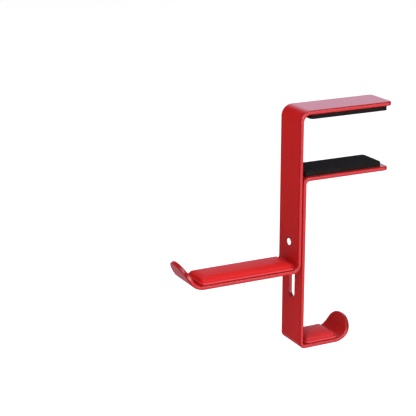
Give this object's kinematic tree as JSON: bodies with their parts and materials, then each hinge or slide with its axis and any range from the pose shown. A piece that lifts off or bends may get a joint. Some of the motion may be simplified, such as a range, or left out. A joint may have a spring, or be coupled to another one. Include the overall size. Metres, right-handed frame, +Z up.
{
  "type": "headphone hook",
  "caption": "Desk-clamp headphone hook: bent metal strips slide to pinch a desk top, with a padded headphone arm and a padded round cable hook.",
  "frame": {"origin": "middle of the upper clamp pad's underside, the face that lies on the desk", "axes": "+Z up, +X over the desk towards the ends of the clamp arms, Y across the strips; the headphone arm points to -X"},
  "size_m": [0.1511, 0.025, 0.16],
  "materials": {
    "red_coat": "satin red coat on aluminium strip; steel would look the same, so the metal is a guess",
    "screw_steel": "bright zinc-plated",
    "washer_steel": "bright zinc-plated",
    "black_foam": "matte, fine cells",
    "red_leather": "fine-grained, satin",
    "core_foam": "open-cell foam",
    "tape": "double-sided tape"
  },
  "bodies": {
    "outer": {"outer_bracket": "red_coat", "upper_clamp_pad": "black_foam", "upper_pad_tape": "tape", "headphone_pad_leather": "red_leather", "headphone_pad_foam": "core_foam", "headphone_pad_tape": "tape"},
    "inner": {"inner_bracket": "red_coat", "lower_clamp_pad": "black_foam", "lower_pad_tape": "tape", "cable_pad_leather": "red_leather", "cable_pad_foam": "core_foam", "cable_pad_tape": "tape"},
    "washer_stack": {"washer": "washer_steel"},
    "screw": {"clamp_screw": "screw_steel"}
  },
  "joints": [
    {"name": "clamp_slide", "type": "slide", "parent": "outer", "child": "inner", "axis": [0, 0, 1], "range_m": [-0.0165, 0.0336]},
    {"name": "washer_lift", "type": "slide", "parent": "outer", "child": "washer_stack", "axis": [1, 0, 0], "range_m": [0, 0.0015]},
    {"name": "screw_turn", "type": "hinge", "parent": "washer_stack", "child": "screw", "pos_m": [-0.0317, 0, -0.0825], "axis": [1, 0, 0], "range_deg": [0, 540]}
  ],
  "couplings": [
    {"joint": "screw_turn", "follows": "washer_lift", "rad_per_m": 6283.2}
  ]
}
